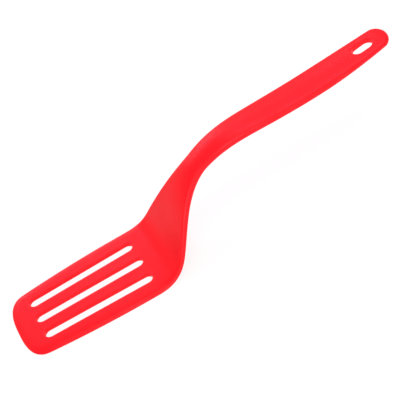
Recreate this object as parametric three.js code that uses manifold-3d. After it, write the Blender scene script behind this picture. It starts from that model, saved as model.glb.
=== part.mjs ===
// Slotted turner: a soft skin moulded over a steel blade core and a nylon handle core.
// Lengths are in millimetres and slopes in degrees.
// +X runs from the blade's lip to the handle's end, and +Z is up. The blade lies flat on z = 0,
// and the origin is below the middle of the overall length.

import * as THREE from "three";
import { mergeVertices } from "three/addons/utils/BufferGeometryUtils.js";
import Module from "manifold-3d";

// Stretches of the middle line, measured along it from the lip to the handle's end
const bladeLength = 98.9;
const heelLength = 35.9;
const neckLength = 8.6;
const shoulderLength = 100.1;
const handleLength = 113.8;

// Slope of the middle line on the neck, where the handle starts and where it ends
const neckSlope = 56;
const handleSlope = 0.9;
const endSlope = 8.8;

// Outline of the moulding, as if it were laid out flat
const lipWidth = 60.8;
const bladeWidth = 73.5;
const waistWidth = 20.1;
const gripWidth = 26.9;
const endWidth = 21.7;
const lipBow = 15.3;
const lipBowPower = 2.8;
const endBow = 8.1;
const endBowPower = 2;

// Where the flare starts after the heel does, where it ends and the handle starts to widen after the shoulder does,
// and where the grip is widest after the handle starts
const flareDelay = 2;
const flareReach = 52.9;
const waistPlace = 47.9;
const gripPeak = 52.2;

// Thickness of the moulding, and how its edges thin out
const bladeThickness = 3.6;
const handleThickness = 6.4;
const endThickness = 4.4;
const lipThickness = 1.2;
const lipBevel = 18;
const lipBevelPower = 2;
const bladeRim = 0.6;
const bladeLowerRound = 0.6;
const handleLowerRound = 1.8;
const endRound = 4;
const bladeCrownPower = 4;
const handleCrownPower = 3;

// Slots through the blade
const slotWidth = 8.7;
const slotFrontMargin = 15.7;
const slotRunOn = 4.4;
const sideSlotShortening = 0.6;
const slotSpacingFront = 17.3;
const slotSpacingBack = 19.3;

// Hang hole near the handle's end
const holeLength = 16.4;
const holeWidth = 10.2;
const holeEndMargin = 12.2;

// Cores inside the skin, and the skin left round them
const plateThickness = 0.8;
const plateMargin = 5;
const slotLining = 1.6;
const skinWall = 1.1;
const handleCoreMargin = 2.6;
const handleCoreEndMargin = 4;
const handleCoreStart = 18;
const handleCoreChamfer = 0.5;
const holeLining = 1.2;
const tangOverlap = 42;
const postDiameter = 3.4;
const postCount = 2;
const clearance = 0.3;

// Holes that the pins holding the core in the mould leave in the handle's underside
const pinDiameter = 3;
const pinCount = 3;
const pinSpacing = 30;
const firstPin = 6;

// How finely curved faces are divided
const lipSections = 9;
const bladeSections = 8;
const heelSections = 11;
const neckSections = 2;
const shoulderSections = 18;
const handleSections = 12;
const endSections = 8;
const crownPoints = 15;
const lowerRoundSteps = 3;
const roundSegments = 16;
const spineStep = 0.5;
const cutPast = 2;

// Places along the middle line
const heelStart = bladeLength;
const neckStart = heelStart + heelLength;
const shoulderStart = neckStart + neckLength;
const handleStart = shoulderStart + shoulderLength;
const totalLength = handleStart + handleLength;
const flareStart = heelStart + flareDelay;
const flareEnd = shoulderStart + flareReach;
const waist = shoulderStart + waistPlace;
const widestGrip = handleStart + gripPeak;
const coreStart = shoulderStart + handleCoreStart;
const tangEnd = coreStart + tangOverlap;

const { clamp, degToRad, lerp, smoothstep } = THREE.MathUtils;
const wasm = await Module();
wasm.setup();

// Middle line: its slope eases from stretch to stretch, and short steps along that slope add up to its place.
function slopeAt(s) {
  const heelTurn = neckSlope * smoothstep(s, heelStart, neckStart);
  const shoulderTurn = (handleSlope - neckSlope) * smoothstep(s, shoulderStart, handleStart);
  const handleTurn = (endSlope - handleSlope) * smoothstep(s, handleStart, totalLength);
  return degToRad(heelTurn + shoulderTurn + handleTurn);
}

function spineAt(s) {
  const steps = Math.max(1, Math.ceil(s / spineStep));
  const run = s / steps;
  let x = 0;
  let z = 0;
  for (let i = 0; i < steps; i++) {
    const slope = slopeAt((i + 0.5) * run);
    x += run * Math.cos(slope);
    z += run * Math.sin(slope);
  }
  return { x, z, slope: slopeAt(s) };
}

// Outline: half the moulding's width, without the bows at its two ends
function halfWidthAt(s) {
  const taper = (1 - Math.min(s / bladeLength, 1)) ** 2;
  const endTaper = clamp((s - widestGrip) / (totalLength - widestGrip), 0, 1) ** 2;
  const widening = 1 - (1 - clamp((s - waist) / (widestGrip - waist), 0, 1)) ** 2;
  let width = lerp(bladeWidth, lipWidth, taper);
  width += (waistWidth - bladeWidth) * handleShare(s);
  width += (gripWidth - waistWidth) * widening;
  width += (endWidth - gripWidth) * endTaper;
  return width / 2;
}

// How far the neck has gone from the blade's section (0) to the handle's (1)
function handleShare(s) {
  return smoothstep(s, flareStart, flareEnd);
}

function depthAt(s) {
  const full = lerp(bladeThickness, handleThickness, handleShare(s));
  return full + (endThickness - handleThickness) * smoothstep(s, widestGrip, totalLength);
}

// A rise from 0 to 1 that starts steep and ends level, like a quarter of a superellipse
function dome(share, power) {
  return (1 - (1 - clamp(share, 0, 1)) ** power) ** (1 / power);
}

// Section of the moulding: flat below with round lower edges, and a crown above that meets them at the rim
function skinRing(s, half) {
  const share = handleShare(s);
  const power = lerp(bladeCrownPower, handleCrownPower, share);
  const ending = dome((totalLength - s) / endRound, power);
  const depth = depthAt(s);
  const bottom = (-depth / 2) * ending;
  const top = (lipThickness + (depth - lipThickness) * dome(s / lipBevel, lipBevelPower) - depth / 2) * ending;
  const rim = bottom + lerp(bladeRim, depth / 2, share) * ending;
  const lowerRound = Math.min(lerp(bladeLowerRound, handleLowerRound, share), half / 2);
  const ring = [];
  for (let i = 0; i < crownPoints; i++) {
    const angle = (Math.PI * i) / (crownPoints - 1);
    const across = Math.sign(Math.cos(angle)) * Math.abs(Math.cos(angle)) ** (2 / power);
    ring.push([half * across, rim + (top - rim) * Math.sin(angle) ** (2 / power)]);
  }
  const lower = [];
  for (let i = 1; i <= lowerRoundSteps; i++) {
    const angle = (Math.PI / 2) * (i / lowerRoundSteps);
    lower.push([half - lowerRound * (1 - Math.cos(angle)), rim + (bottom - rim) * Math.sin(angle)]);
  }
  const farLower = lower.map(([y, d]) => [-y, d]);
  return [...ring, ...farLower, ...lower.reverse()];
}

// Section of a flat bar with cut corners
function barRing(half, thickness, chamfer) {
  const deep = thickness / 2;
  const corner = [
    [half, deep - chamfer],
    [half - chamfer, deep],
  ];
  const left = corner.map(([y, d]) => [-y, d]).reverse();
  const upper = [...corner, ...left];
  const lower = upper.map(([y, d]) => [-y, -d]);
  return [...upper, ...lower];
}

function plateRing(half, thickness) {
  const deep = thickness / 2;
  return [
    [half, deep],
    [-half, deep],
    [-half, -deep],
    [half, -deep],
  ];
}

// Places of the sections: close together in the bends and far apart where the middle line is straight
function spread(from, to, count) {
  return Array.from({ length: count }, (_, i) => lerp(from, to, i / count));
}

const places = [
  ...spread(0, heelStart, bladeSections),
  ...spread(heelStart, neckStart, heelSections),
  ...spread(neckStart, shoulderStart, neckSections),
  ...spread(shoulderStart, handleStart, shoulderSections),
  ...spread(handleStart, totalLength, handleSections),
];

// Stations of a piece that lies a margin inside the outline, with ends square or bowed like a superellipse
function outline(margin, start, end, startBow, finishBow) {
  const stations = [];
  const inner = (s) => halfWidthAt(s) - margin;
  const bowed = (bow, power, count, placeOf) => {
    for (let i = 1; i <= count; i++) {
      const angle = (Math.PI / 2) * (i / count);
      const s = placeOf(bow * (1 - Math.cos(angle) ** (2 / power)));
      stations.push({ s, half: inner(s) * Math.sin(angle) ** (2 / power) });
    }
  };
  if (startBow > 0) bowed(startBow, lipBowPower, lipSections, (run) => start + run);
  else stations.push({ s: start, half: inner(start) });
  const first = start + startBow;
  const last = end - finishBow;
  const apart = lipBow / lipSections;
  const between = places.filter((s) => s > first + apart && s < last - apart);
  stations.push(...between.map((s) => ({ s, half: inner(s) })));
  const finish = stations.length;
  if (finishBow > 0) bowed(finishBow, endBowPower, endSections, (run) => end - run);
  else stations.push({ s: end, half: inner(end) });
  return [...stations.slice(0, finish), ...stations.slice(finish).reverse()];
}

// A closed skin over rings that stand square to the middle line
function loft(stations, ringAt) {
  const rings = stations.map((station) => {
    const { x, z, slope } = spineAt(station.s);
    const place = ([y, d]) => [x - d * Math.sin(slope), y, z + d * Math.cos(slope)];
    return ringAt(station).map(place);
  });
  const around = rings[0].length;
  const positions = rings.flat(2);
  const index = [];
  for (let i = 0; i + 1 < rings.length; i++) {
    for (let j = 0; j < around; j++) {
      const a = i * around + j;
      const b = i * around + ((j + 1) % around);
      index.push(a, b, b + around, a, b + around, a + around);
    }
  }
  const lastRing = (rings.length - 1) * around;
  for (let j = 1; j + 1 < around; j++) {
    index.push(0, j + 1, j);
    index.push(lastRing, lastRing + j, lastRing + j + 1);
  }
  const geometry = new THREE.BufferGeometry();
  geometry.setAttribute("position", new THREE.Float32BufferAttribute(positions, 3));
  geometry.setIndex(index);
  return solidOf(geometry);
}

function solidOf(geometry) {
  const bare = geometry.clone();
  bare.deleteAttribute("normal");
  bare.deleteAttribute("uv");
  const merged = mergeVertices(bare);
  const vertProperties = merged.attributes.position.array;
  const triVerts = new Uint32Array(merged.index.array);
  return new wasm.Manifold(new wasm.Mesh({ numProp: 3, vertProperties, triVerts }));
}

function meshOf(name, solid, material) {
  const { vertProperties, triVerts } = solid.getMesh();
  const geometry = new THREE.BufferGeometry();
  geometry.setAttribute("position", new THREE.BufferAttribute(vertProperties, 3));
  geometry.setIndex(new THREE.BufferAttribute(triVerts, 1));
  geometry.computeVertexNormals();
  const mesh = new THREE.Mesh(geometry, material);
  mesh.name = name;
  return mesh;
}

// A straight bar with round ends that stands on the middle line at s and reaches from one offset to another
function longCutter(length, width, from, to) {
  const radius = width / 2;
  const straight = length / 2 - radius;
  const shape = new THREE.Shape();
  shape.absarc(straight, 0, radius, -Math.PI / 2, Math.PI / 2);
  shape.absarc(-straight, 0, radius, Math.PI / 2, (3 * Math.PI) / 2);
  shape.closePath();
  const options = { depth: to - from, bevelEnabled: false, curveSegments: roundSegments / 2 };
  return new THREE.ExtrudeGeometry(shape, options).translate(0, 0, from);
}

function roundCutter(diameter, from, to) {
  const radius = diameter / 2;
  const cylinder = new THREE.CylinderGeometry(radius, radius, to - from, roundSegments);
  return cylinder.rotateX(Math.PI / 2).translate(0, 0, (from + to) / 2);
}

function standAt(geometry, s) {
  const { x, z, slope } = spineAt(s);
  return solidOf(geometry.rotateY(-slope).translate(x, 0, z));
}

// Slots: the middle one is the longest, and the side ones fan out towards the heel.
function slotCutters(grow) {
  const front = slotFrontMargin;
  const back = heelStart + slotRunOn;
  const reach = bladeThickness / 2 + cutPast;
  return [-1, 0, 1].map((side) => {
    const shorter = Math.abs(side) * sideSlotShortening;
    const from = new THREE.Vector2(front + shorter, side * slotSpacingFront);
    const to = new THREE.Vector2(back - shorter, side * slotSpacingBack);
    const middle = from.clone().lerp(to, 0.5);
    const length = from.distanceTo(to) + 2 * grow;
    const cutter = longCutter(length, slotWidth + 2 * grow, -reach, reach);
    cutter.rotateZ(to.clone().sub(from).angle()).translate(middle.x, middle.y, 0);
    return solidOf(cutter);
  });
}

function holeCutter(grow) {
  const reach = handleThickness / 2 + cutPast;
  const cutter = longCutter(holeLength + 2 * grow, holeWidth + 2 * grow, -reach, reach);
  return standAt(cutter, totalLength - holeEndMargin - holeLength / 2);
}

const cutAll = (solid, cutters) => cutters.reduce((rest, cutter) => rest.subtract(cutter), solid);
const postPlaces = spread(coreStart, tangEnd, postCount + 1).slice(1);
const pinPlaces = Array.from({ length: pinCount }, (_, i) => handleStart + firstPin + i * pinSpacing);

// Steel plate: slotted in the blade, bent at the heel and drawn in to a tang that ends inside the handle core
function plateBlank(gap) {
  const stations = outline(plateMargin - gap, plateMargin - gap, tangEnd + gap, lipBow, 0);
  const thickness = plateThickness + 2 * gap;
  const blank = loft(stations, ({ half }) => plateRing(half, thickness));
  return cutAll(blank, slotCutters(slotLining + clearance - gap));
}

function bladeCore() {
  const reach = plateThickness / 2 + cutPast;
  const holes = postPlaces.map((s) => standAt(roundCutter(postDiameter + 2 * clearance, -reach, reach), s));
  return cutAll(plateBlank(0), holes);
}

// Nylon bar: moulded round the tang, with posts through the tang's holes
function handleCoreThickness(s) {
  return depthAt(s) - 2 * (skinWall + clearance);
}

function handleBlank(gap) {
  const end = totalLength - handleCoreEndMargin;
  const stations = outline(handleCoreMargin - gap, coreStart - gap, end + gap, 0, endBow);
  const ringAt = ({ s, half }) => {
    const chamfer = Math.min(handleCoreChamfer, half / 2);
    return barRing(half, handleCoreThickness(s) + 2 * gap, chamfer);
  };
  return loft(stations, ringAt).subtract(holeCutter(holeLining + clearance - gap));
}

function handleCore() {
  const bar = handleBlank(0).subtract(plateBlank(clearance));
  return postPlaces.reduce((whole, s) => {
    const wall = (handleCoreThickness(s) - plateThickness) / 2 - clearance;
    const reach = plateThickness / 2 + clearance + wall / 2;
    return whole.add(standAt(roundCutter(postDiameter, -reach, reach), s));
  }, bar);
}

// Skin: one moulding all round both cores, which it also lines in the slots and in the hang hole
function skin() {
  const stations = outline(0, 0, totalLength, lipBow, endBow);
  const moulding = loft(stations, ({ s, half }) => skinRing(s, half));
  const pins = pinPlaces.map((s) => standAt(roundCutter(pinDiameter, -depthAt(s) / 2 - cutPast, 0), s));
  const openings = [...slotCutters(0), holeCutter(0), ...pins];
  const pockets = [plateBlank(clearance), handleBlank(clearance)];
  return cutAll(moulding, [...openings, ...pockets]);
}

const silicone = new THREE.MeshStandardMaterial({ color: 0xf52a33, roughness: 0.45, metalness: 0 });
const steel = new THREE.MeshStandardMaterial({ color: 0xb9bdc1, roughness: 0.35, metalness: 1 });
const nylon = new THREE.MeshStandardMaterial({ color: 0x8e1b20, roughness: 0.6, metalness: 0 });

const turner = new THREE.Group();
turner.add(meshOf("silicone_skin", skin(), silicone));
turner.add(meshOf("blade_core", bladeCore(), steel));
turner.add(meshOf("handle_core", handleCore(), nylon));
turner.position.set(-spineAt(totalLength).x / 2, 0, bladeThickness / 2);

export default turner;
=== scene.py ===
"""Slotted turner: a moulded skin, the finishes of its cores and a plain studio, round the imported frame."""

import math

import bpy
import numpy as np
from bpy.props import FloatProperty, FloatVectorProperty, IntProperty, PointerProperty
from mathutils import Matrix, Vector


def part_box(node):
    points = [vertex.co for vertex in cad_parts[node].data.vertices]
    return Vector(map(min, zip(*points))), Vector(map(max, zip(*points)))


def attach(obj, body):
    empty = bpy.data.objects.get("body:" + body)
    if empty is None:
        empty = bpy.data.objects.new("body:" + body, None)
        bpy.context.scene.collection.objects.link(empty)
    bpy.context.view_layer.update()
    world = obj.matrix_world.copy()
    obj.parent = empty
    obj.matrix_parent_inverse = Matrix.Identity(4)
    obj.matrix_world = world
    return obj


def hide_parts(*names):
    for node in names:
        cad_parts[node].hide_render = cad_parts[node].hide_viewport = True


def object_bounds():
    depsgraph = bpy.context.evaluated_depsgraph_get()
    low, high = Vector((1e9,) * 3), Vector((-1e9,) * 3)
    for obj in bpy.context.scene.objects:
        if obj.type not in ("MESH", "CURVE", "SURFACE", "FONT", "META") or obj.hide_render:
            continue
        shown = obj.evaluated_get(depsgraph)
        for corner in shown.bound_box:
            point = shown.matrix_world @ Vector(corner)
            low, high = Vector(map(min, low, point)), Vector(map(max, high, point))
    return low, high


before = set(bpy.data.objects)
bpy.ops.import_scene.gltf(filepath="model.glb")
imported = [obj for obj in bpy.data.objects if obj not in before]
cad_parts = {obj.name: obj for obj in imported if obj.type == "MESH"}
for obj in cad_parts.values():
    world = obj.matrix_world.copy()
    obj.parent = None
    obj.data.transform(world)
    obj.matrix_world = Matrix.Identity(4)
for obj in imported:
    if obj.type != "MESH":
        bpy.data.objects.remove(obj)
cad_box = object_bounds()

bl_info = {
    "name": "Slotted turner",
    "version": (1, 0, 0),
    "blender": (4, 5, 0),
    "location": "3D View > Sidebar > Turner",
    "description": "Dresses the frame of a slotted turner in its moulded skin and lights it",
    "category": "Object",
}

MM = 0.001
BODY = "root"
WHITE = (1, 1, 1)
ELLIPSE = 2

# Into how many steps the middle line, the skin's rows, its openings and their round edges are divided
LINE_STEPS = 1600
SLOT_STEPS = 4
BAR_STEPS = 4
MARGIN_STEPS = 4
RIM_STEPS = 8
BOW_STEPS = 3
ARC_STEPS = 4
SLOT_FLANKS = 16
HOLE_FLANKS = 4
PIN_ARC_STEPS = 2
ROUND_STEPS = 4

# How far apart the columns stand along the middle line, and how far they keep from an opening's border
BLADE_GAP = 3 * MM
BEND_GAP = 2.5 * MM
HANDLE_GAP = 3.2 * MM
CLEAR_GAP = 1.5 * MM

# Rows of the grid that run along the edges of the slots, the hang hole and the rim
SLOT_EDGE = SLOT_STEPS
SIDE_NEAR = SLOT_EDGE + BAR_STEPS
SIDE_FAR = SIDE_NEAR + 2 * SLOT_STEPS
MARGIN = SIDE_FAR + MARGIN_STEPS
RIM = MARGIN + RIM_STEPS

# Where those rows lie, as shares of half the width, and how the rows crowd together towards the rim
ROW_KNOTS = (0, SLOT_EDGE, SIDE_NEAR, SIDE_FAR, MARGIN)
ROW_SHARES = (0, 0.135, 0.41, 0.66, 0.8)
RIM_CROWDING = 2.4

# How far the skin may stand off the frame's own skin, and how quickly its rubbed edges, with their painted
# paler sheen, fade
FIT_TOLERANCE = 0.6 * MM
EDGE_FADE = 1.6 * MM
EDGE_ATTRIBUTE = "edge"

# Mould grain: a coarser wave under the fine one, and the part of the noise that the clouds spread out
COARSE_SCALE = 0.16
COARSE_HEIGHT = 0.6
CLOUD_RANGE = (0.32, 0.68)
CLOUD_WARP = 0.6

# Handling marks: the noise that makes the rubbed patches, where the silicone also gets a painted paler edge
# sheen, and the scuffs, which are finer and drawn out
PATCH_RANGE = (0.3, 0.62)
PATCH_LEAST = 0.35
PATCH_WARP = 0.3
SCUFF_FINENESS = 12
SCUFF_STRETCH = 0.18
SCUFF_RANGE = (0.6, 0.74)

# Silicone: how clouds, rubbed edges and scuffs change its roughness, and how its grain is raised
SILICONE_CLOUDED = (0.04, -0.03)
SILICONE_RUBBED = 0.08
SILICONE_SCUFFED = 0.07
SILICONE_GRAIN = {"strength": 0.09, "depth": 0.06 * MM}

# Steel: its rolled streaks, the dull clouds on them, and the same effects
STREAK_SCALE = 1800
STREAK_STRETCH = 0.03
STREAK_COLOURS = (0.3, 0.7)
STREAK_ROUGHNESS = (0.2, 0.8)
STEEL_DULLED = 0.3
STEEL_STREAKED = (-0.06, 0.08)
STEEL_SCUFFED = 0.12
STEEL_GRAIN = {"strength": 0.15, "depth": 0.02 * MM}

# Nylon: the glass fibres near its surface, and the same effects
FIBRE_SCALE = 2600
FIBRE_STRETCH = 0.12
FIBRE_RANGE = (0.52, 0.68)
NYLON_CLOUDED = (-0.05, 0.06)
NYLON_SCUFFED = 0.1
NYLON_GRAIN = {"strength": 0.3, "depth": 0.08 * MM}


def length(label, millimetres, about):
    metres = millimetres * MM
    return FloatProperty(name=label, description=about, default=metres, unit="LENGTH", precision=5)


def angle(label, degrees, about):
    return FloatProperty(name=label, description=about, default=math.radians(degrees), subtype="ANGLE")


def factor(label, value, about):
    return FloatProperty(name=label, description=about, default=value, min=0, max=1, subtype="FACTOR")


def number(label, value, about):
    return FloatProperty(name=label, description=about, default=value, min=0)


def power(label, value, about):
    return FloatProperty(name=label, description=about, default=value, min=0, unit="POWER")


def focal_length(label, millimetres, about):
    return FloatProperty(name=label, description=about, default=millimetres, min=1, unit="CAMERA")


def position(label, millimetres, about):
    metres = [value * MM for value in millimetres]
    return FloatVectorProperty(
        name=label, description=about, default=metres, size=3, subtype="TRANSLATION", unit="LENGTH"
    )


def extent(label, millimetres, about):
    metres = [value * MM for value in millimetres]
    return FloatVectorProperty(
        name=label, description=about, default=metres, size=2, min=0, unit="LENGTH"
    )


def colour(label, value, about):
    return FloatVectorProperty(
        name=label, description=about, default=value, size=3, min=0, max=1, subtype="COLOR"
    )


class TURNER_PG_moulding(bpy.types.PropertyGroup):
    """Sizes of the moulding, laid out along its middle line"""

    blade_length: length("Blade length", 98.9, "Flat stretch from the lip to the heel")
    heel_length: length("Heel length", 35.9, "Stretch that bends up from the blade")
    neck_length: length("Neck length", 8.6, "Straight stretch between the two bends")
    shoulder_length: length("Shoulder length", 100.1, "Stretch that bends back into the handle")
    handle_length: length("Handle length", 113.8, "Stretch from the shoulder to the end")
    neck_slope: angle("Neck slope", 56, "Slope of the neck above the blade")
    handle_slope: angle("Handle slope", 0.9, "Slope where the handle starts")
    end_slope: angle("End slope", 8.8, "Slope where the handle ends")
    lip_width: length("Lip width", 60.8, "Width of the blade at its lip")
    blade_width: length("Blade width", 73.5, "Width of the blade at its heel")
    waist_width: length("Waist width", 20.1, "Width of the narrowest place")
    waist_place: length("Waist place", 47.9, "From the shoulder's start to where the handle widens")
    grip_width: length("Grip width", 26.9, "Width of the widest place of the handle")
    end_width: length("End width", 21.7, "Width of the handle at its end")
    lip_bow: length("Lip bow", 15.3, "How far the lip bows out past its corners")
    lip_squareness: number("Lip squareness", 2.8, "Squareness of the lip's outline, with 2 for an ellipse")
    end_bow: length("End bow", 8.1, "How far the handle's end bows out past its corners")
    flare_delay: length("Flare delay", 2, "How far past the heel's start the blade draws in")
    flare_reach: length("Flare reach", 52.9, "From the shoulder's start to where the flare ends")
    grip_peak: length("Grip peak", 52.2, "From the handle's start to its widest place")
    blade_thickness: length("Blade thickness", 3.6, "Thickness of the blade")
    handle_thickness: length("Handle thickness", 6.4, "Thickness of the handle")
    end_thickness: length("End thickness", 4.4, "Thickness of the handle at its end")
    lip_thickness: length("Lip thickness", 1.2, "Thickness of the blade at its lip")
    lip_bevel: length("Lip bevel", 18, "Stretch over which the lip thickens")
    blade_rim: length("Blade rim", 0.6, "Height of the blade's rim above its underside")
    blade_lower_round: length("Blade lower round", 0.6, "Width of the blade's round lower edge")
    handle_lower_round: length("Handle lower round", 1.8, "Width of the handle's round lower edge")
    blade_edge: length("Blade edge", 6, "Width of the blade's sloping upper edge")
    handle_edge: length("Handle edge", 1.4, "Width of the round upper edge behind the heel")
    blade_crown: factor("Blade crown", 0.05, "Share of the thickness by which the middle rises")
    shoulder_crown: factor("Shoulder crown", 0.3, "The same share at the waist")
    handle_crown: factor("Handle crown", 0.2, "The same share on the grip")
    shoulder_rise: length("Shoulder rise", 1, "How much thicker the moulding is at the waist")


class TURNER_PG_openings(bpy.types.PropertyGroup):
    """Sizes of the slots, the hang hole and the pin holes"""

    slot_width: length("Slot width", 8.7, "Width of each slot")
    slot_front: length("Slot front", 15.7, "From the lip to the middle slot")
    slot_run_on: length("Slot run-on", 4.4, "How far the middle slot runs on past the heel's start")
    side_shorter: length("Side shorter", 0.6, "How much sooner the side slots end, at each end")
    spacing_front: length("Spacing at the lip", 17.3, "From slot to slot near the lip")
    spacing_back: length("Spacing at the heel", 19.3, "From slot to slot near the heel")
    slot_round: length("Slot edge", 0.5, "Radius of the slots' upper edge")
    slot_lower_round: length("Slot lower edge", 0.4, "Radius of the slots' lower edge")
    slot_band: length("Slot band", 1.6, "Width of the even band of faces round a slot")
    hole_length: length("Hang hole length", 16.4, "Length of the hang hole")
    hole_width: length("Hang hole width", 10.2, "Width of the hang hole")
    hole_end: length("Hang hole margin", 12.2, "From the hang hole to the handle's end")
    hole_round: length("Hang hole edge", 0.9, "Radius of the hang hole's upper edge")
    hole_lower_round: length("Hang hole lower edge", 0.8, "Radius of the hang hole's lower edge")
    hole_band: length("Hang hole band", 1.6, "Width of the even band of faces round the hang hole")
    pin_diameter: length("Pin hole", 3, "Diameter of the holes that the mould's pins leave below")
    pin_count: IntProperty(name="Pin holes", description="Number of pin holes", default=3, min=1)
    pin_spacing: length("Pin spacing", 30, "From one pin hole to the next")
    pin_first: length("First pin", 6, "From the handle's start to the first pin hole")
    pin_depth: length("Pin depth", 1.6, "Depth of the pin holes, to just behind the core's face")
    pin_round: length("Pin edge", 0.3, "Radius of the pin holes' edge")
    pin_band: length("Pin band", 0.8, "Width of the even band of faces round a pin hole")


class TURNER_PG_finish(bpy.types.PropertyGroup):
    """Colours and surfaces of the three materials"""

    silicone: colour("Silicone", (0.94, 0.0085, 0.015), "Red of the skin")
    silicone_deep: colour("Deep silicone", (0.9, 0.0065, 0.012), "Red of the skin's darker clouds")
    # Paler red along the edges: a painted sheen for the light on the rims, laid in patches with the rubbed wear
    silicone_edge_sheen: colour("Silicone edge", (0.95, 0.014, 0.021), "Red of the skin's thin, rubbed edges")
    silicone_roughness: factor("Silicone roughness", 0.34, "Roughness of the skin")
    silicone_gloss: factor("Silicone gloss", 0.074, "Strength of the skin's reflections")
    steel: colour("Steel", (0.56, 0.57, 0.58), "Grey of the blade's core")
    steel_dark: colour("Dark steel", (0.42, 0.43, 0.45), "Grey of the steel's rolled streaks")
    steel_roughness: factor("Steel roughness", 0.34, "Roughness of the steel")
    nylon: colour("Nylon", (0.2, 0.012, 0.016), "Dull red of the handle's core")
    nylon_pale: colour("Pale nylon", (0.27, 0.03, 0.034), "Red of the nylon where its glass fibres show")
    nylon_roughness: factor("Nylon roughness", 0.6, "Roughness of the nylon")


class TURNER_PG_studio(bpy.types.PropertyGroup):
    """Camera, floor and light"""

    azimuth: angle("Azimuth", -11, "Direction of the camera, from the front towards the handle")
    elevation: angle("Elevation", 42.21, "Height of the camera above the horizon")
    roll: angle("Roll", 22.16, "Turn of the camera about its own axis")
    distance: length("Distance", 760.2, "From the camera to the middle of the frame's box")
    raised: length("Raised", -12.37, "How far the camera is moved up the picture")
    shifted: length("Shifted", -0.78, "How far the camera is moved to the picture's right")
    lens: focal_length("Lens", 95.77, "Focal length, on a sensor 36 mm wide")
    floor_size: length("Floor size", 6000, "Side of the floor")
    floor_gap: length("Floor gap", 0.1, "How far the floor lies below the blade")
    floor_contact: length("Floor contact", 0.3, "How close to the floor light passes it, to show the underside")
    floor_white: factor("Floor white", 0.84, "Share of the floor's white that no shadow reaches")
    world_light: number("World light", 0.5, "Strength of the even light from all round")
    lamp_tint: colour("Lamp tint", (0.78, 0.74, 1), "Cool white of the lamps behind")
    key_power: power("Key", 3.4, "Power of the lamp overhead")
    key_size: extent("Key size", (400, 400), "Width and height of the lamp overhead")
    key_place: position("Key place", (0, -340, 1086), "Place of the lamp overhead")
    fill_power: power("Fill", 6, "Power of the lamp in front")
    fill_size: extent("Fill size", (400, 400), "Width and height of the lamp in front")
    fill_place: position("Fill place", (0, -1005, 487), "Place of the lamp in front")
    back_power: power("Back", 2.9, "Power of the low strip behind")
    back_size: extent("Back size", (600, 240), "Width and height of the low strip behind")
    back_place: position("Back place", (-256, 955, 522), "Place of the low strip behind")
    glow_power: power("Glow", 1.3, "Power of the small lamp above that strip")
    glow_size: extent("Glow size", (450, 250), "Width and height of the small lamp above that strip")
    glow_place: position("Glow place", (150, 841, 717), "Place of the small lamp above that strip")
    side_power: power("Side", 2.8, "Power of the high lamp towards the handle")
    side_size: extent("Side size", (450, 300), "Width and height of the high lamp towards the handle")
    side_place: position("Side place", (219, 449, 1020), "Place of the high lamp towards the handle")


def ease(s, start, end):
    """A smooth rise from 0 at start to 1 at end."""
    t = np.clip((s - start) / (end - start), 0, 1)
    return t * t * (3 - 2 * t)


def mix(a, b, t):
    return a + (b - a) * t


def round_off(u, v, squareness=ELLIPSE):
    """Bends a square from -1 to 1 into a disc or a squarer shape, so that a grid can follow an end."""
    ahead = u * np.sqrt(1 - v**2 / 2)
    aside = v * np.sqrt(1 - u**2 / 2)
    disc = np.hypot(ahead, aside)
    square = (np.abs(ahead) ** squareness + np.abs(aside) ** squareness) ** (1 / squareness)
    swell = np.where(square > 0, disc / np.where(square > 0, square, 1), 1)
    return ahead * swell, aside * swell


def quarter_round(radius, turn):
    """How far a round edge lies off its wall and off its face, at a turn from the face to the wall."""
    return radius * (1 - math.sin(turn)), radius * (1 - math.cos(turn))


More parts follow.
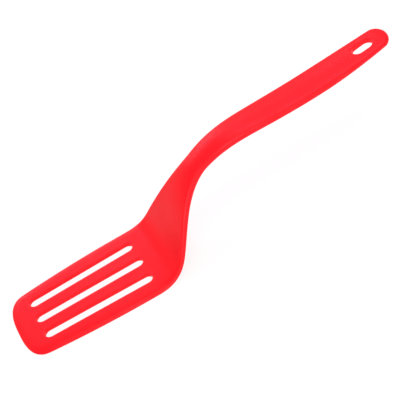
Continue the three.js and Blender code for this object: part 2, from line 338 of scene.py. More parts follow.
class Moulding:
    """Middle line, outline and section: s runs along the middle line, y across it, d square to both."""

    def __init__(self, sizes):
        self.sizes = sizes
        self.heel = sizes.blade_length
        self.neck = self.heel + sizes.heel_length
        self.shoulder = self.neck + sizes.neck_length
        self.handle = self.shoulder + sizes.shoulder_length
        self.end = self.handle + sizes.handle_length
        self.flare = self.heel + sizes.flare_delay
        self.flare_end = self.shoulder + sizes.flare_reach
        self.waist = self.shoulder + sizes.waist_place
        self.grip = self.handle + sizes.grip_peak
        run = self.end / LINE_STEPS
        self.line = np.linspace(0, self.end, LINE_STEPS + 1)
        slopes = self.slope(self.line[:-1] + run / 2)
        self.line_x = np.concatenate(([0], np.cumsum(np.cos(slopes) * run)))
        self.line_z = np.concatenate(([0], np.cumsum(np.sin(slopes) * run)))

    def slope(self, s):
        sizes = self.sizes
        heel_turn = sizes.neck_slope * ease(s, self.heel, self.neck)
        shoulder_turn = (sizes.handle_slope - sizes.neck_slope) * ease(s, self.shoulder, self.handle)
        handle_turn = (sizes.end_slope - sizes.handle_slope) * ease(s, self.handle, self.end)
        return heel_turn + shoulder_turn + handle_turn

    def half_width(self, s):
        sizes = self.sizes
        taper = (1 - np.minimum(s / self.heel, 1)) ** 2
        widening = 1 - (1 - np.clip((s - self.waist) / (self.grip - self.waist), 0, 1)) ** 2
        end_taper = np.clip((s - self.grip) / (self.end - self.grip), 0, 1) ** 2
        width = mix(sizes.blade_width, sizes.lip_width, taper)
        width = width + (sizes.waist_width - sizes.blade_width) * self.handle_share(s)
        width = width + (sizes.grip_width - sizes.waist_width) * widening
        width = width + (sizes.end_width - sizes.grip_width) * end_taper
        return width / 2

    def handle_share(self, s):
        """How far the neck has gone from the blade's section to the handle's."""
        return ease(s, self.flare, self.flare_end)

    def depth(self, s):
        sizes = self.sizes
        full = mix(sizes.blade_thickness, sizes.handle_thickness, self.handle_share(s))
        return full + (sizes.end_thickness - sizes.handle_thickness) * ease(s, self.grip, self.end)

    def rim_height(self, s):
        return mix(self.sizes.blade_rim, self.depth(s) / 2, self.handle_share(s))

    def lower_round(self, s):
        return mix(self.sizes.blade_lower_round, self.sizes.handle_lower_round, self.handle_share(s))

    def upper_edge(self, s):
        return mix(self.sizes.blade_edge, self.sizes.handle_edge, ease(s, self.heel, self.neck))

    def reach(self, s, y):
        """0 on the middle line and 1 on the outline, and how far inside the outline the place lies."""
        sizes = self.sizes
        half = self.half_width(s)
        across = np.abs(y) / half
        near_lip = s < self.heel
        bow = np.where(near_lip, sizes.lip_bow, sizes.end_bow)
        square = np.where(near_lip, sizes.lip_squareness, ELLIPSE)
        ahead = np.clip(1 - np.where(near_lip, s, self.end - s) / bow, 0, None)
        share = (across**square + ahead**square) ** (1 / square)
        slant = np.hypot(across ** (square - 1) / half, ahead ** (square - 1) / bow)
        slant = np.where(share > 0, slant, 1) * np.where(share > 0, share, 1) ** (1 - square)
        inset = np.where(share > 0, (1 - share) / slant, half)
        return np.clip(share, 0, 1), np.clip(inset, 0, None)

    def top(self, s, y):
        """A crown that falls gently from the middle line, and an edge that rounds down to the rim."""
        sizes = self.sizes
        share, inset = self.reach(s, y)
        depth = self.depth(s)
        waist = ease(s, self.shoulder, self.waist)
        grip = ease(s, self.waist, self.grip)
        crown_share = mix(sizes.blade_crown, sizes.shoulder_crown, waist)
        crown = depth * mix(crown_share, sizes.handle_crown, grip)
        bevel = np.sqrt(1 - (1 - np.clip(s / sizes.lip_bevel, 0, 1)) ** 2)
        full = mix(sizes.lip_thickness, depth, bevel) + sizes.shoulder_rise * waist * (1 - grip)
        short = 1 - np.clip(inset / self.upper_edge(s), 0, 1)
        edge = (full - crown - self.rim_height(s)) * (1 - np.sqrt(1 - short**2))
        return full - crown * share**2 - edge - depth / 2

    def bottom(self, s, y):
        _, inset = self.reach(s, y)
        short = 1 - np.clip(inset / self.lower_round(s), 0, 1)
        return self.rim_height(s) * (1 - np.sqrt(1 - short**2)) - self.depth(s) / 2

    def place(self, s, y, d):
        """Points in the frame: the blade lies flat on z = 0, and the origin is below the middle."""
        slope = self.slope(s)
        x = np.interp(s, self.line, self.line_x) - self.line_x[-1] / 2
        z = np.interp(s, self.line, self.line_z) + self.sizes.blade_thickness / 2
        return np.stack([x - d * np.sin(slope), y, z + d * np.cos(slope)], axis=-1)


class Opening:
    """A round-ended hole: the grid leaves a block out for it, and the block's border follows the hole."""

    def __init__(self, start, end, radius, band, rows, steps):
        self.start = np.array(start)
        self.end = np.array(end)
        self.radius = radius
        self.band = band
        self.low, self.high = rows
        self.steps = steps
        self.first = 0
        way = self.end - self.start
        run = np.hypot(*way)
        self.along = way / run if run > 0 else np.array((1.0, 0.0))
        self.across = np.array((-self.along[1], self.along[0]))

    @property
    def last(self):
        return self.first + len(self.steps) - 1

    @property
    def span(self):
        """The first and the last place along the middle line that the block's border takes up."""
        border = self.radius + self.band
        return self.start[0] - border, self.end[0] + border

    def point(self, column, row, offset):
        """Place in the plan of a grid point of the block, whose border stands off the hole by an offset."""
        travel, u = self.steps[column - self.first]
        v = 2 * (row - self.low) / (self.high - self.low) - 1
        ahead, aside = round_off(u, v)
        centre = mix(self.start, self.end, travel)
        return centre + (self.radius + offset) * (ahead * self.along + aside * self.across)

    def border(self):
        """Grid points round the block, counterclockwise from above."""
        columns = range(self.first, self.last)
        rows = range(self.low, self.high)
        near = [(column, self.low) for column in columns]
        back = [(self.last, row) for row in rows]
        far = [(column + 1, self.high) for column in reversed(columns)]
        front = [(self.first, row + 1) for row in reversed(rows)]
        return near + back + far + front

    def inside(self, column, row):
        return self.first < column < self.last and self.low < row < self.high

    def covers(self, column, row):
        """Whether the cell after this column and row belongs to the block."""
        return self.first <= column < self.last and self.low <= row < self.high

    def distance(self, s, y):
        """How far a place in the plan lies from the hole's wall."""
        way = self.end - self.start
        squared = way @ way
        ahead = (s - self.start[0]) * way[0] + (y - self.start[1]) * way[1]
        travel = np.clip(ahead / squared, 0, 1) if squared > 0 else 0
        gap_s = s - self.start[0] - travel * way[0]
        gap_y = y - self.start[1] - travel * way[1]
        return np.abs(np.hypot(gap_s, gap_y) - self.radius)


def opening_steps(arc_steps, flanks):
    """Columns of an opening: round its front end, along its straight flanks and round its back end."""
    front = [(0.0, -1 + i / arc_steps) for i in range(arc_steps)]
    straight = [(i / flanks, 0.0) for i in range(flanks + 1)] if flanks else [(0.0, 0.0)]
    back = [(1.0, (i + 1) / arc_steps) for i in range(arc_steps)]
    return front + straight + back


def slot_openings(moulding, sizes):
    """The three slots: the middle one is the longest, and the side ones fan out towards the heel."""
    radius = sizes.slot_width / 2
    front = sizes.slot_front
    back = moulding.heel + sizes.slot_run_on
    steps = opening_steps(ARC_STEPS, SLOT_FLANKS)
    blocks = {-1: (-SIDE_FAR, -SIDE_NEAR), 0: (-SLOT_EDGE, SLOT_EDGE), 1: (SIDE_NEAR, SIDE_FAR)}
    slots = []
    for side, rows in blocks.items():
        shorter = abs(side) * sizes.side_shorter
        tip = np.array((front + shorter, side * sizes.spacing_front))
        heel = np.array((back - shorter, side * sizes.spacing_back))
        along = (heel - tip) / np.hypot(*(heel - tip))
        start = tip + radius * along
        end = heel - radius * along
        slots.append(Opening(start, end, radius, sizes.slot_band, rows, steps))
    return slots


def hang_hole(moulding, sizes):
    radius = sizes.hole_width / 2
    back = moulding.end - sizes.hole_end - radius
    front = back - sizes.hole_length + 2 * radius
    steps = opening_steps(ARC_STEPS, HOLE_FLANKS)
    return Opening((front, 0.0), (back, 0.0), radius, sizes.hole_band, (-SIDE_NEAR, SIDE_NEAR), steps)


def pin_holes(moulding, sizes):
    radius = sizes.pin_diameter / 2
    steps = opening_steps(PIN_ARC_STEPS, 0)
    rows = (-SLOT_EDGE, SLOT_EDGE)
    first = moulding.handle + sizes.pin_first
    middles = [(first + i * sizes.pin_spacing, 0.0) for i in range(sizes.pin_count)]
    return [Opening(middle, middle, radius, sizes.pin_band, rows, steps) for middle in middles]


class SkinGrid:
    """Plan of the skin, for its top and its bottom: columns along the middle line, and rows across it."""

    def __init__(self, moulding, sizes):
        self.moulding = moulding
        rim = 1 - (1 - ROW_SHARES[-1]) * np.linspace(1, 0, RIM_STEPS + 1) ** RIM_CROWDING
        knots = np.concatenate((ROW_KNOTS[:-1], np.arange(MARGIN, RIM + 1)))
        shares = np.concatenate((ROW_SHARES[:-1], rim))
        rows = np.arange(-RIM, RIM + 1)
        self.rows = np.sign(rows) * np.interp(np.abs(rows), knots, shares)
        self.bows = np.concatenate((rim[::-1], np.linspace(ROW_SHARES[-1], 0, BOW_STEPS + 2)[1:-1]))
        self.slots = slot_openings(moulding, sizes)
        self.hole = hang_hole(moulding, sizes)
        self.pins = pin_holes(moulding, sizes)
        self.columns = []
        self.add_columns()
        through = [self.slots, [self.hole]]
        self.top = self.lay_sheet(through)
        self.bottom = self.lay_sheet(through + [[pin] for pin in self.pins])

    def add_columns(self):
        """Lists the columns from lip to end with their places and shares of a bow, below 0 at the lip."""
        moulding = self.moulding
        sizes = moulding.sizes
        slots_front = min(slot.span[0] for slot in self.slots)
        slots_back = max(slot.span[1] for slot in self.slots)
        self.columns += [(0, -bow) for bow in self.bows]
        self.add_plain(sizes.lip_bow, slots_front, BLADE_GAP)
        self.add_opening(self.slots)
        self.add_plain(slots_back + CLEAR_GAP, moulding.shoulder, BEND_GAP)
        self.add_plain(moulding.shoulder, moulding.handle, HANDLE_GAP)
        reached = moulding.handle
        for hole in self.pins + [self.hole]:
            front, back = hole.span
            self.add_plain(reached, front, HANDLE_GAP)
            self.add_opening([hole])
            reached = back + CLEAR_GAP
        self.add_plain(reached, moulding.end - sizes.end_bow, HANDLE_GAP)
        self.columns += [(moulding.end, bow) for bow in self.bows[::-1]]

    def add_plain(self, start, end, gap):
        """Adds straight columns from one place up to another, which is left to the next column."""
        count = max(0, round((end - start) / gap))
        self.columns += [(s, 0) for s in np.linspace(start, end, count + 1)[:-1]]

    def add_opening(self, openings):
        """Adds the columns that openings side by side share, where the outermost one has its border."""
        for opening in openings:
            opening.first = len(self.columns)
        outer = openings[-1]
        columns = range(outer.first, outer.last + 1)
        self.columns += [(outer.point(column, outer.high, outer.band)[0], 0) for column in columns]

    def lay_sheet(self, groups):
        """Places of the grid's points in the plan, with each group of openings seated in it."""
        moulding = self.moulding
        sheet = np.zeros((len(self.columns), len(self.rows), 2))
        for i, (s, bow) in enumerate(self.columns):
            squareness = moulding.sizes.lip_squareness if bow < 0 else ELLIPSE
            ahead, aside = round_off(abs(bow), self.rows, squareness)
            places = np.full(len(self.rows), float(s))
            if bow < 0:
                places = moulding.sizes.lip_bow * (1 - ahead)
            if bow > 0:
                places = moulding.end - moulding.sizes.end_bow * (1 - ahead)
            sheet[i, :, 0] = places
            sheet[i, :, 1] = moulding.half_width(places) * aside
        for openings in groups:
            self.seat(sheet, openings)
        return sheet

    def seat(self, sheet, openings):
        """Moves the rows to the openings' borders and spreads the rows between them evenly."""
        free = np.arange(-MARGIN, MARGIN + 1)
        for column in range(openings[0].first, openings[0].last + 1):
            fixed = [-MARGIN, MARGIN]
            for opening in openings:
                for row in range(opening.low, opening.high + 1):
                    sheet[column, row + RIM] = opening.point(column, row, opening.band)
                    fixed.append(row)
            fixed = np.sort(fixed)
            for axis in (0, 1):
                known = sheet[column, fixed + RIM, axis]
                sheet[column, free + RIM, axis] = np.interp(free, fixed, known)


class SkinMesh:
    """The skin's points and faces: a top and a bottom that meet at the rim, and the openings' walls."""

    def __init__(self, moulding, sizes):
        self.moulding = moulding
        self.grid = SkinGrid(moulding, sizes)
        self.points = []
        self.faces = []
        through = self.grid.slots + [self.grid.hole]
        shape = self.grid.top.shape[:2]
        self.top_ids = np.full(shape, -1)
        self.bottom_ids = np.full(shape, -1)
        self.add_sheet(self.grid.top, self.top_ids, moulding.top, through)
        for edge in (0, -1):
            self.bottom_ids[edge] = self.top_ids[edge]
            self.bottom_ids[:, edge] = self.top_ids[:, edge]
        self.add_sheet(self.grid.bottom, self.bottom_ids, moulding.bottom, through + self.grid.pins)
        self.add_cells(self.top_ids, through, False)
        self.add_cells(self.bottom_ids, through + self.grid.pins, True)
        for slot in self.grid.slots:
            self.add_wall(slot, sizes.slot_round, sizes.slot_lower_round)
        self.add_wall(self.grid.hole, sizes.hole_round, sizes.hole_lower_round)
        for pin in self.grid.pins:
            self.add_pin(pin, sizes.pin_round, sizes.pin_depth)

    def add_point(self, s, y, d):
        self.points.append((s, y, d))
        return len(self.points) - 1

    def add_sheet(self, sheet, ids, height, openings):
        heights = height(sheet[..., 0], sheet[..., 1])
        for column, row in np.argwhere(ids < 0):
            if not any(opening.inside(column, row - RIM) for opening in openings):
                ids[column, row] = self.add_point(*sheet[column, row], heights[column, row])

    def add_cells(self, ids, openings, below):
        for column in range(ids.shape[0] - 1):
            for row in range(ids.shape[1] - 1):
                if any(opening.covers(column, row - RIM) for opening in openings):
                    continue
                self.add_cell(ids, column, row, below)

    def add_cell(self, ids, column, row, below):
        cell = [ids[column, row], ids[column + 1, row], ids[column + 1, row + 1], ids[column, row + 1]]
        self.faces.append(cell[::-1] if below else cell)

    def add_strip(self, ring, following):
        """Faces between two rings of a wall, from the upper ring to the lower one."""
        for i in range(len(ring)):
            j = (i + 1) % len(ring)
            self.faces.append([ring[i], ring[j], following[j], following[i]])

    def add_ring(self, opening, offset, height):
        """Points round an opening, at an offset from its wall and at the height of their places."""
        ring = []
        for column, row in opening.border():
            s, y = opening.point(column, row, offset)
            ring.append(self.add_point(s, y, height(s, y)))
        return ring

    def add_wall(self, opening, upper, lower):
        """Wall through the skin, with a round edge above and below."""
        top = self.moulding.top
        bottom = self.moulding.bottom
        quarter = np.linspace(0, math.pi / 2, ROUND_STEPS + 1)
        rings = [[self.top_ids[column, row + RIM] for column, row in opening.border()]]
        for turn in quarter:
            offset, drop = quarter_round(upper, turn)
            rings.append(self.add_ring(opening, offset, lambda s, y: top(s, y) - drop))
        for turn in quarter[::-1]:
            offset, rise = quarter_round(lower, turn)
            rings.append(self.add_ring(opening, offset, lambda s, y: bottom(s, y) + rise))
        rings.append([self.bottom_ids[column, row + RIM] for column, row in opening.border()])
        for ring, following in zip(rings, rings[1:]):
            self.add_strip(ring, following)

    def add_pin(self, pin, edge, depth):
        """Blind hole in the underside, with a round edge."""
        bottom = self.moulding.bottom
        rings = [[self.bottom_ids[column, row + RIM] for column, row in pin.border()]]
        for turn in np.linspace(0, math.pi / 2, ROUND_STEPS + 1):
            offset, rise = quarter_round(edge, turn)
            rings.append(self.add_ring(pin, offset, lambda s, y: bottom(s, y) + rise))
        rings.append(self.add_ring(pin, 0, lambda s, y: bottom(s, y) + depth))
        for ring, following in zip(rings, rings[1:]):
            self.add_strip(following, ring)
        floor_ids = np.full(self.bottom_ids.shape, -1)
        for (column, row), point in zip(pin.border(), rings[-1]):
            floor_ids[column, row + RIM] = point
        for column in range(pin.first, pin.last + 1):
            for row in range(pin.low, pin.high + 1):
                if pin.inside(column, row):
                    s, y = pin.point(column, row, 0)
                    floor_ids[column, row + RIM] = self.add_point(s, y, bottom(s, y) + depth)
        for column in range(pin.first, pin.last):
            for row in range(pin.low, pin.high):
                self.add_cell(floor_ids, column, row + RIM, True)

    def edge_shares(self):
        """How close each point lies to an edge of the outline, a slot or the hang hole, from 0 to 1."""
        s, y, _ = np.array(self.points).T
        _, gap = self.moulding.reach(s, y)
        for opening in self.grid.slots + [self.grid.hole]:
            gap = np.minimum(gap, opening.distance(s, y))
        return np.exp(-gap / EDGE_FADE)

    def make(self, name):
        places = self.moulding.place(*np.array(self.points).T)
        mesh = bpy.data.meshes.new(name)
        mesh.from_pydata(places.tolist(), [], [[int(i) for i in face] for face in self.faces])
        edge = mesh.attributes.new(EDGE_ATTRIBUTE, "FLOAT", "POINT")
        edge.data.foreach_set("value", self.edge_shares())
        mesh.shade_smooth()
        if mesh.validate():
            raise RuntimeError("the skin's mesh has faulty faces")
        return mesh


def add_object(name, data):
    made = bpy.data.objects.new(name, data)
    bpy.context.scene.collection.objects.link(made)
    return made


def check_fit(piece, node):
    """Stops where a new piece stands off the frame's node, because then the sizes no longer agree."""
    bpy.context.view_layer.update()
    corners = [piece.matrix_world @ Vector(corner) for corner in piece.bound_box]
    for axis in range(3):
        low, high = (corner[axis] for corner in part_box(node))
        values = [corner[axis] for corner in corners]
        gap = max(abs(min(values) - low), abs(max(values) - high))
        if gap > FIT_TOLERANCE:
            raise RuntimeError(f"{piece.name} stands off {node} by {gap / MM:.2f} mm along axis {axis}")


def new_material(name):
    material = bpy.data.materials.new(name)
    material.use_nodes = True
    tree = material.node_tree
    return material, tree, tree.nodes["Principled BSDF"]


def feed(tree, socket, value):
    """Gives a socket a link, a colour or a number."""
    if isinstance(value, bpy.types.NodeSocket):
        tree.links.new(value, socket)
    elif socket.type == "RGBA":
        socket.default_value = (*value, 1)
    else:
        socket.default_value = value


def add_node(tree, kind, settings=None, **values):
    """Adds a node, sets its own options and then feeds its sockets, named with _ for spaces."""
    node = tree.nodes.new(kind)
    for name, value in (settings or {}).items():
        setattr(node, name, value)
    for name, value in values.items():
        feed(tree, node.inputs[name.replace("_", " ")], value)
    return node


def feed_pair(tree, node, kind, first, second):
    """Feeds the first two sockets of a kind that a node has."""
    sockets = [socket for socket in node.inputs if socket.type == kind]
    for socket, value in zip(sockets, (first, second)):
        feed(tree, socket, value)


def add_math(tree, operation, first, second):
    """A math node on two links or numbers, and its result."""
    node = add_node(tree, "ShaderNodeMath", {"operation": operation})
    feed_pair(tree, node, "VALUE", first, second)
    return node.outputs["Value"]


def add_range(tree, value, span, new_span=(0, 1)):
    """Maps a value from one span to another, and holds it there."""
    low, high = span
    new_low, new_high = new_span
    limits = {"From_Min": low, "From_Max": high, "To_Min": new_low, "To_Max": new_high}
    return add_node(tree, "ShaderNodeMapRange", Value=value, **limits).outputs["Result"]


def add_blend(tree, share, first, second):
    """Blends two colours, given as links or as values."""
    node = add_node(tree, "ShaderNodeMix", {"data_type": "RGBA"}, Factor=share)
    feed_pair(tree, node, "RGBA", first, second)
    return next(socket for socket in node.outputs if socket.type == "RGBA")


def add_mix_shader(tree, share, first, second):
    """Mixes two shaders, given by their outputs."""
    node = add_node(tree, "ShaderNodeMixShader", Fac=share)
    feed_pair(tree, node, "SHADER", first, second)
    return node.outputs["Shader"]


def new_group(name, inputs, outputs):
    """A shader node group with number sockets."""
    tree = bpy.data.node_groups.new(name, "ShaderNodeTree")
    for label, default in inputs.items():
        socket = tree.interface.new_socket(label, in_out="INPUT", socket_type="NodeSocketFloat")
        socket.default_value = default
    for label in outputs:
        tree.interface.new_socket(label, in_out="OUTPUT", socket_type="NodeSocketFloat")
    return tree, tree.nodes.new("NodeGroupInput"), tree.nodes.new("NodeGroupOutput")


def place_group(tree, group, **values):
    """Places a group in a material and sets its inputs."""
    return add_node(tree, "ShaderNodeGroup", {"node_tree": group}, **values)


def add_noise(tree, scale, detail, warp=0, stretch=1):
    """Noise over the object's own coordinates, drawn out along X, with its scale as a link or a number."""
    place = add_node(tree, "ShaderNodeTexCoord").outputs["Object"]
    if stretch != 1:
        drawn = add_node(tree, "ShaderNodeMapping", Vector=place, Scale=(stretch, 1, 1))
        place = drawn.outputs["Vector"]
    wave = {"Scale": scale, "Detail": detail, "Distortion": warp}
    return add_node(tree, "ShaderNodeTexNoise", Vector=place, **wave).outputs["Fac"]


def mould_grain():
    """Group for moulded or rolled surfaces: a fine grain to raise them with, and soft clouds."""
    found = bpy.data.node_groups.get("Mould grain")
    if found:
        return found
    tree, given, result = new_group(
        "Mould grain", {"Grain scale": 2200.0, "Cloud scale": 30.0}, ("Height", "Clouds")
    )
    grain = add_noise(tree, given.outputs["Grain scale"], detail=2)
    coarse_scale = add_math(tree, "MULTIPLY", given.outputs["Grain scale"], COARSE_SCALE)
    coarse = add_noise(tree, coarse_scale, detail=2)
    height = add_math(tree, "ADD", add_math(tree, "MULTIPLY", coarse, COARSE_HEIGHT), grain)
    tree.links.new(height, result.inputs["Height"])
    clouds = add_noise(tree, given.outputs["Cloud scale"], detail=4, warp=CLOUD_WARP)
    tree.links.new(add_range(tree, clouds, CLOUD_RANGE), result.inputs["Clouds"])
    return tree


def marks_and_edge_sheen():
    """Group for wear and painted sheen: edges that are rubbed in patches, which on the silicone are also
    painted paler as a sheen, and faint scuffs along the tool.
    """
    found = bpy.data.node_groups.get("Handling marks")
    if found:
        return found
    tree, given, result = new_group(
        "Handling marks", {"Patch scale": 60.0, "Edge": 0.0}, ("Rubbed", "Scuffs")
    )
    patches = add_noise(tree, given.outputs["Patch scale"], detail=3, warp=PATCH_WARP)
    worn = add_range(tree, patches, PATCH_RANGE, (PATCH_LEAST, 1))
    tree.links.new(add_math(tree, "MULTIPLY", worn, given.outputs["Edge"]), result.inputs["Rubbed"])
    fine = add_math(tree, "MULTIPLY", given.outputs["Patch scale"], SCUFF_FINENESS)
    scratches = add_noise(tree, fine, detail=2, stretch=SCUFF_STRETCH)
    scuffs = add_math(tree, "MULTIPLY", add_range(tree, scratches, SCUFF_RANGE), worn)
    tree.links.new(scuffs, result.inputs["Scuffs"])
    return tree


def roughness_span(roughness, changes):
    """The two ends of a roughness that an effect changes."""
    return [roughness + change for change in changes]


def add_bump(tree, shader, height, strength, depth):
    bump = add_node(tree, "ShaderNodeBump", Height=height, Strength=strength, Distance=depth)
    tree.links.new(bump.outputs["Normal"], shader.inputs["Normal"])


def silicone_material(finish):
    """Satin silicone: clouded red with a fine mould grain, smoother on its rubbed edges and painted paler there
    as a painted edge sheen.
    """
    material, tree, shader = new_material("satin_red_silicone")
    grain = place_group(tree, mould_grain(), Grain_scale=2400, Cloud_scale=26)
    edge = add_node(tree, "ShaderNodeAttribute", {"attribute_name": EDGE_ATTRIBUTE})
    marks = place_group(tree, marks_and_edge_sheen(), Patch_scale=70, Edge=edge.outputs["Fac"])
    clouded = add_blend(tree, grain.outputs["Clouds"], finish.silicone_deep, finish.silicone)
    # Paler red blended in along the edges, in patches: a painted edge sheen
    rubbed_with_sheen = add_blend(tree, marks.outputs["Rubbed"], clouded, finish.silicone_edge_sheen)
    tree.links.new(rubbed_with_sheen, shader.inputs["Base Color"])
    rough = roughness_span(finish.silicone_roughness, SILICONE_CLOUDED)
    satin = add_range(tree, grain.outputs["Clouds"], (0, 1), rough)
    worn = add_math(tree, "MULTIPLY", marks.outputs["Rubbed"], SILICONE_RUBBED)
    scuffed = add_math(tree, "MULTIPLY", marks.outputs["Scuffs"], SILICONE_SCUFFED)
    roughness = add_math(tree, "ADD", add_math(tree, "SUBTRACT", satin, worn), scuffed)
    tree.links.new(roughness, shader.inputs["Roughness"])
    shader.inputs["Specular IOR Level"].default_value = finish.silicone_gloss
    add_bump(tree, shader, grain.outputs["Height"], **SILICONE_GRAIN)
    return material


def steel_material(finish):
    """Rolled spring steel: streaks along its length, dull patches and fine scuffs."""
    material, tree, shader = new_material("rolled_spring_steel")
    grain = place_group(tree, mould_grain(), Grain_scale=1500, Cloud_scale=40)
    marks = place_group(tree, marks_and_edge_sheen(), Patch_scale=90)
    streaks = add_noise(tree, STREAK_SCALE, detail=3, stretch=STREAK_STRETCH)
    streaked = add_blend(tree, add_range(tree, streaks, STREAK_COLOURS), finish.steel_dark, finish.steel)
    dulled = add_math(tree, "MULTIPLY", grain.outputs["Clouds"], STEEL_DULLED)
    tree.links.new(add_blend(tree, dulled, streaked, finish.steel_dark), shader.inputs["Base Color"])
    rough = roughness_span(finish.steel_roughness, STEEL_STREAKED)
    rolled = add_range(tree, streaks, STREAK_ROUGHNESS, rough)
    scuffed = add_math(tree, "MULTIPLY", marks.outputs["Scuffs"], STEEL_SCUFFED)
    tree.links.new(add_math(tree, "ADD", rolled, scuffed), shader.inputs["Roughness"])
    shader.inputs["Metallic"].default_value = 1
    add_bump(tree, shader, streaks, **STEEL_GRAIN)
    return material


def nylon_material(finish):
    """Glass-filled nylon: dull red, with pale fibres that lie along the bar and a coarse mould grain."""
    material, tree, shader = new_material("glass_filled_nylon")
    grain = place_group(tree, mould_grain(), Grain_scale=1300, Cloud_scale=45)
    marks = place_group(tree, marks_and_edge_sheen(), Patch_scale=80)
    strands = add_noise(tree, FIBRE_SCALE, detail=2, stretch=FIBRE_STRETCH)
    fibres = add_range(tree, strands, FIBRE_RANGE)
    shown = add_math(tree, "MULTIPLY", fibres, grain.outputs["Clouds"])
    tree.links.new(add_blend(tree, shown, finish.nylon, finish.nylon_pale), shader.inputs["Base Color"])
    rough = roughness_span(finish.nylon_roughness, NYLON_CLOUDED)
    dull = add_range(tree, grain.outputs["Clouds"], (0, 1), rough)
    scuffed = add_math(tree, "MULTIPLY", marks.outputs["Scuffs"], NYLON_SCUFFED)
    tree.links.new(add_math(tree, "SUBTRACT", dull, scuffed), shader.inputs["Roughness"])
    add_bump(tree, shader, grain.outputs["Height"], **NYLON_GRAIN)
    return material


def dress(node, material):
    """Gives a node of the frame a finish, in place of its plain one."""
    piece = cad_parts[node]
    piece.data.materials.clear()
    piece.data.materials.append(material)


def white_rays(tree):
    """1 for the rays that see plain white: straight from the camera, mirrored or passed through."""
    path = add_node(tree, "ShaderNodeLightPath")
    seen = add_math(tree, "MAXIMUM", path.outputs["Is Camera Ray"], path.outputs["Is Glossy Ray"])
    return add_math(tree, "MAXIMUM", seen, path.outputs["Is Transmission Ray"])


def floor_material(studio):
    """White floor with a pale shadow: clear from below, and to light in the thin gap under the blade."""
    material = bpy.data.materials.new("studio_white")
    material.use_nodes = True
    tree = material.node_tree
    tree.nodes.clear()
    matt = add_node(tree, "ShaderNodeBsdfDiffuse", Color=WHITE).outputs["BSDF"]
    white = add_node(tree, "ShaderNodeEmission", Color=WHITE, Strength=1).outputs["Emission"]
    clear = add_node(tree, "ShaderNodeBsdfTransparent").outputs["BSDF"]
    share = add_math(tree, "MULTIPLY", white_rays(tree), studio.floor_white)
    above = add_mix_shader(tree, share, matt, white)
    below = add_node(tree, "ShaderNodeNewGeometry").outputs["Backfacing"]
    travelled = add_node(tree, "ShaderNodeLightPath").outputs["Ray Length"]
    touching = add_math(tree, "LESS_THAN", travelled, studio.floor_contact)
    surface = add_mix_shader(tree, add_math(tree, "MAXIMUM", below, touching), above, clear)
    add_node(tree, "ShaderNodeOutputMaterial", Surface=surface)
    return material


def add_floor(studio):
    half = studio.floor_size / 2
    height = cad_box[0].z - studio.floor_gap
    corners = [(x * half, y * half, height) for x, y in ((-1, -1), (1, -1), (1, 1), (-1, 1))]
    mesh = bpy.data.meshes.new("studio_floor")
    mesh.from_pydata(corners, [], [(0, 1, 2, 3)])
    mesh.materials.append(floor_material(studio))
    add_object("studio_floor", mesh)


def set_world(studio):
    """Even light from all round, which the camera sees as plain white."""
    world = bpy.data.worlds.new("studio_light")
    world.use_nodes = True
    tree = world.node_tree
    tree.nodes.clear()
    strength = add_range(tree, white_rays(tree), (0, 1), (studio.world_light, 1))
    background = add_node(tree, "ShaderNodeBackground", Color=WHITE, Strength=strength)
    add_node(tree, "ShaderNodeOutputWorld", Surface=background.outputs["Background"])
    bpy.context.scene.world = world


def add_lamp(studio, kind, tint, target):
    """Adds the soft lamp whose power, size and place the studio gives, turned to a target."""
    name = f"{kind}_lamp"
    lamp = bpy.data.lights.new(name, "AREA")
    lamp.color = tint
    lamp.shape = "RECTANGLE"
    lamp.size, lamp.size_y = getattr(studio, f"{kind}_size")
    lamp.energy = getattr(studio, f"{kind}_power")
    made = add_object(name, lamp)
    made.location = getattr(studio, f"{kind}_place")
    made.rotation_euler = (target - made.location).to_track_quat("-Z", "Y").to_euler()
    made.visible_camera = False


def add_camera(studio, middle):
    """Camera at the photograph's angle, rolled so that the turner runs up across the picture."""
    turn = studio.azimuth
    rise = studio.elevation
    back = Vector((math.sin(turn) * math.cos(rise), -math.cos(turn) * math.cos(rise), math.sin(rise)))
    level = Vector((math.cos(turn), math.sin(turn), 0))
    upright = back.cross(level)
    right = math.cos(studio.roll) * level - math.sin(studio.roll) * upright
    up = math.sin(studio.roll) * level + math.cos(studio.roll) * upright
    data = bpy.data.cameras.new("studio_camera")
    data.lens = studio.lens
    camera = add_object("studio_camera", data)
    camera.matrix_world = Matrix((right, up, back)).transposed().to_4x4()
    camera.location = middle + studio.shifted * right + studio.raised * up + studio.distance * back
    bpy.context.scene.camera = camera


class TURNER_OT_stage(bpy.types.Operator):
    """Sets up the floor, the light and the camera"""

    bl_idname = "turner.stage"
    bl_label = "Studio"

    def execute(self, context):
        studio = context.scene.turner_studio
        middle = (cad_box[0] + cad_box[1]) / 2
        add_floor(studio)
        set_world(studio)
        for kind in ("key", "fill"):
            add_lamp(studio, kind, WHITE, middle)
        for kind in ("back", "glow", "side"):
            add_lamp(studio, kind, studio.lamp_tint, middle)
        add_camera(studio, middle)
        context.scene.view_settings.view_transform = "Standard"
        return {"FINISHED"}


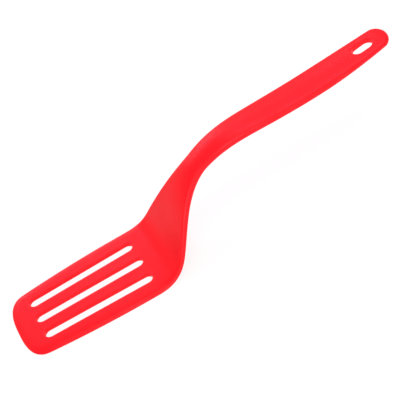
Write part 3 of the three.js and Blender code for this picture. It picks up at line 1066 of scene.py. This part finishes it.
class TURNER_OT_skin(bpy.types.Operator):
    """Moulds the silicone skin over blade, neck and handle"""

    bl_idname = "turner.skin"
    bl_label = "Silicone skin"

    def execute(self, context):
        scene = context.scene
        moulding = Moulding(scene.turner_moulding)
        mesh = SkinMesh(moulding, scene.turner_openings).make("moulded_skin")
        mesh.materials.append(silicone_material(scene.turner_finish))
        skin = add_object("moulded_skin", mesh)
        check_fit(skin, "silicone_skin")
        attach(skin, BODY)
        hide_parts("silicone_skin")
        return {"FINISHED"}


class TURNER_OT_cores(bpy.types.Operator):
    """Finishes the steel core of the blade and the nylon core of the handle"""

    bl_idname = "turner.cores"
    bl_label = "Cores"

    def execute(self, context):
        finish = context.scene.turner_finish
        dress("blade_core", steel_material(finish))
        dress("handle_core", nylon_material(finish))
        return {"FINISHED"}


class TURNER_PT_panel(bpy.types.Panel):
    """Lists the pieces of the turner and their settings"""

    bl_idname = "TURNER_PT_panel"
    bl_label = "Slotted turner"
    bl_space_type = "VIEW_3D"
    bl_region_type = "UI"
    bl_category = "Turner"

    def draw(self, context):
        layout = self.layout
        for operator in OPERATORS:
            layout.operator(operator.bl_idname)
        for name in SETTINGS:
            group = getattr(context.scene, name)
            box = layout.box()
            for key in group.bl_rna.properties.keys():
                if key not in ("rna_type", "name"):
                    box.prop(group, key)


SETTINGS = {
    "turner_moulding": TURNER_PG_moulding,
    "turner_openings": TURNER_PG_openings,
    "turner_finish": TURNER_PG_finish,
    "turner_studio": TURNER_PG_studio,
}
OPERATORS = (TURNER_OT_stage, TURNER_OT_skin, TURNER_OT_cores)


def register():
    for group in SETTINGS.values():
        bpy.utils.register_class(group)
    for name, group in SETTINGS.items():
        setattr(bpy.types.Scene, name, PointerProperty(type=group))
    for made in (*OPERATORS, TURNER_PT_panel):
        bpy.utils.register_class(made)


def unregister():
    for made in (TURNER_PT_panel, *OPERATORS):
        bpy.utils.unregister_class(made)
    for name, group in SETTINGS.items():
        delattr(bpy.types.Scene, name)
        bpy.utils.unregister_class(group)


def main():
    register()
    bpy.ops.turner.stage()
    bpy.ops.turner.skin()
    bpy.ops.turner.cores()


if __name__ == "__main__":
    main()
